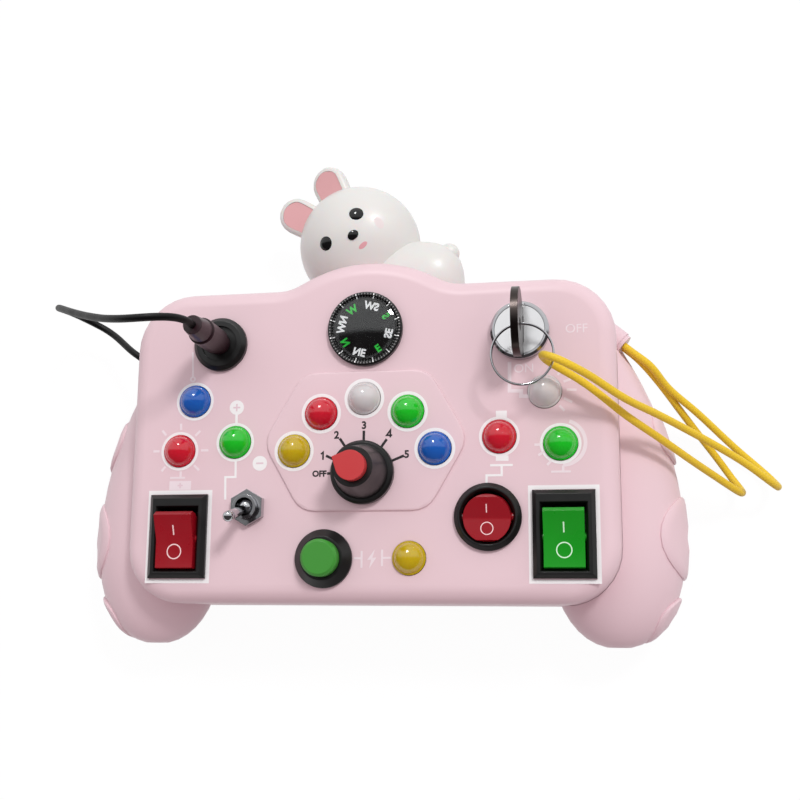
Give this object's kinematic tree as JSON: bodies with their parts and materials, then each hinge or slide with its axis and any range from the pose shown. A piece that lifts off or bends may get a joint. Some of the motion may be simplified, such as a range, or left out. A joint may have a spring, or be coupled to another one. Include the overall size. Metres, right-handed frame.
{
  "type": "busy board",
  "caption": "Controller-shaped toy board with rockers, a toggle, a push button, a rotary selector, a key lock, a compass, a power plug on a lead and coloured lamps, with a toy rabbit on top.",
  "frame": {"origin": "middle of the panel, on the plane of the flat back", "axes": "+X to the right of the panel, +Y towards the rabbit, +Z out of the panel"},
  "size_m": [0.1947, 0.131, 0.0692],
  "materials": {
    "shell_pink": "fine satin moulding texture",
    "rabbit_white": "soft satin vinyl",
    "ear_pink": "satin",
    "black_plastic": "satin gloss",
    "dark_maroon_plastic": "satin",
    "black_rubber": "matt",
    "yellow_cord": "waxed braid",
    "bright_steel": "nickel plate",
    "dark_steel": "brushed",
    "plain_steel": "zinc plate",
    "brass": "plain",
    "red_plastic": "gloss",
    "green_plastic": "gloss",
    "red_lens": "diffusing lens",
    "green_lens": "diffusing lens",
    "blue_lens": "diffusing lens",
    "yellow_lens": "diffusing lens",
    "white_lens": "diffusing lens",
    "clear_plastic": "clear polished",
    "circuit_board": "lacquered board",
    "cell_wrap": "satin",
    "blue_plastic": "gloss"
  },
  "bodies": {
    "housing": {"front_shell": "shell_pink", "rear_shell": "shell_pink", "shell_screws": "plain_steel", "battery_door": "shell_pink", "battery_door_screw": "plain_steel", "battery_cells": "cell_wrap", "battery_contacts": "bright_steel", "battery_springs": "bright_steel", "circuit_board": "circuit_board", "board_screws": "plain_steel", "rabbit_figure": "rabbit_white", "rabbit_ear_linings": "ear_pink", "rabbit_eyes": "black_plastic", "rabbit_nose": "black_plastic", "compass_case": "black_plastic", "compass_pivot": "plain_steel", "compass_dome": "clear_plastic", "dc_socket": "black_plastic", "dc_socket_pin": "brass", "dc_socket_nut": "plain_steel", "dc_plug_lead": "black_rubber", "lead_grommet": "shell_pink", "lock_barrel": "bright_steel", "lock_nut": "plain_steel", "key_cord": "yellow_cord", "cord_grommet": "shell_pink", "toggle_body": "blue_plastic", "toggle_bushing": "bright_steel", "toggle_nut": "bright_steel", "left_rocker_housing": "black_plastic", "right_rocker_housing": "black_plastic", "round_rocker_housing": "black_plastic", "rocker_terminals": "brass", "button_bezel": "black_plastic", "button_spring": "plain_steel", "button_nut": "black_plastic", "rotary_switch": "black_plastic", "rotary_nut": "plain_steel", "red_lamps": "red_lens", "green_lamps": "green_lens", "blue_lamps": "blue_lens", "yellow_lamps": "yellow_lens", "clear_lamps": "white_lens"},
    "left_paddle": {"left_rocker_paddle": "red_plastic"},
    "right_paddle": {"right_rocker_paddle": "green_plastic"},
    "round_paddle": {"round_rocker_paddle": "red_plastic"},
    "toggle": {"toggle_lever": "bright_steel"},
    "button": {"button_cap": "green_plastic"},
    "knob": {"knob_body": "black_plastic", "knob_pointer": "red_plastic", "rotary_shaft": "plain_steel"},
    "key": {"lock_plug": "plain_steel", "key": "dark_steel"},
    "ring": {"key_ring": "bright_steel"},
    "plug": {"dc_plug": "dark_maroon_plastic", "dc_plug_sleeve": "bright_steel"},
    "card": {"compass_card": "black_plastic"}
  },
  "joints": [
    {"name": "left_rocker_tilt", "type": "hinge", "parent": "housing", "child": "left_paddle", "pos_m": [-0.0478, -0.0245, 0.0362], "axis": [1, 0, 0], "range_deg": [-22, 0]},
    {"name": "right_rocker_tilt", "type": "hinge", "parent": "housing", "child": "right_paddle", "pos_m": [0.049, -0.0245, 0.0362], "axis": [1, 0, 0], "range_deg": [-22, 0]},
    {"name": "round_rocker_tilt", "type": "hinge", "parent": "housing", "child": "round_paddle", "pos_m": [0.0308, -0.0196, 0.0362], "axis": [1, 0, 0], "range_deg": [-22, 0]},
    {"name": "toggle_flip", "type": "hinge", "parent": "housing", "child": "toggle", "pos_m": [-0.0296, -0.0168, 0.0376], "axis": [-0.9613, 0.2756, 0], "range_deg": [0, 34]},
    {"name": "button_press", "type": "slide", "parent": "housing", "child": "button", "axis": [0, 0, -1], "range_m": [0, 0.0026], "stiffness_N_per_m": 400, "deforming": ["button_spring"]},
    {"name": "knob_turn", "type": "hinge", "parent": "housing", "child": "knob", "pos_m": [0, -0.0085, 0.0372], "axis": [0, 0, 1], "range_deg": [-130, 25]},
    {"name": "key_turn", "type": "hinge", "parent": "housing", "child": "key", "pos_m": [0.0391, 0.0262, 0.0386], "axis": [0, 0, 1], "range_deg": [0, 90], "deforming": ["key_cord"]},
    {"name": "ring_swing", "type": "hinge", "parent": "key", "child": "ring", "pos_m": [0.0391, 0.02504, 0.0475], "axis": [0.6893, -0.7245, 0], "range_deg": [0, 35], "deforming": ["key_cord"]},
    {"name": "plug_pull", "type": "slide", "parent": "housing", "child": "plug", "axis": [0, 0, 1], "range_m": [0, 0.014], "deforming": ["dc_plug_lead"]},
    {"name": "compass_turn", "type": "hinge", "parent": "housing", "child": "card", "pos_m": [0, 0.02825, 0.036], "axis": [0, 0, 1], "continuous": true}
  ]
}
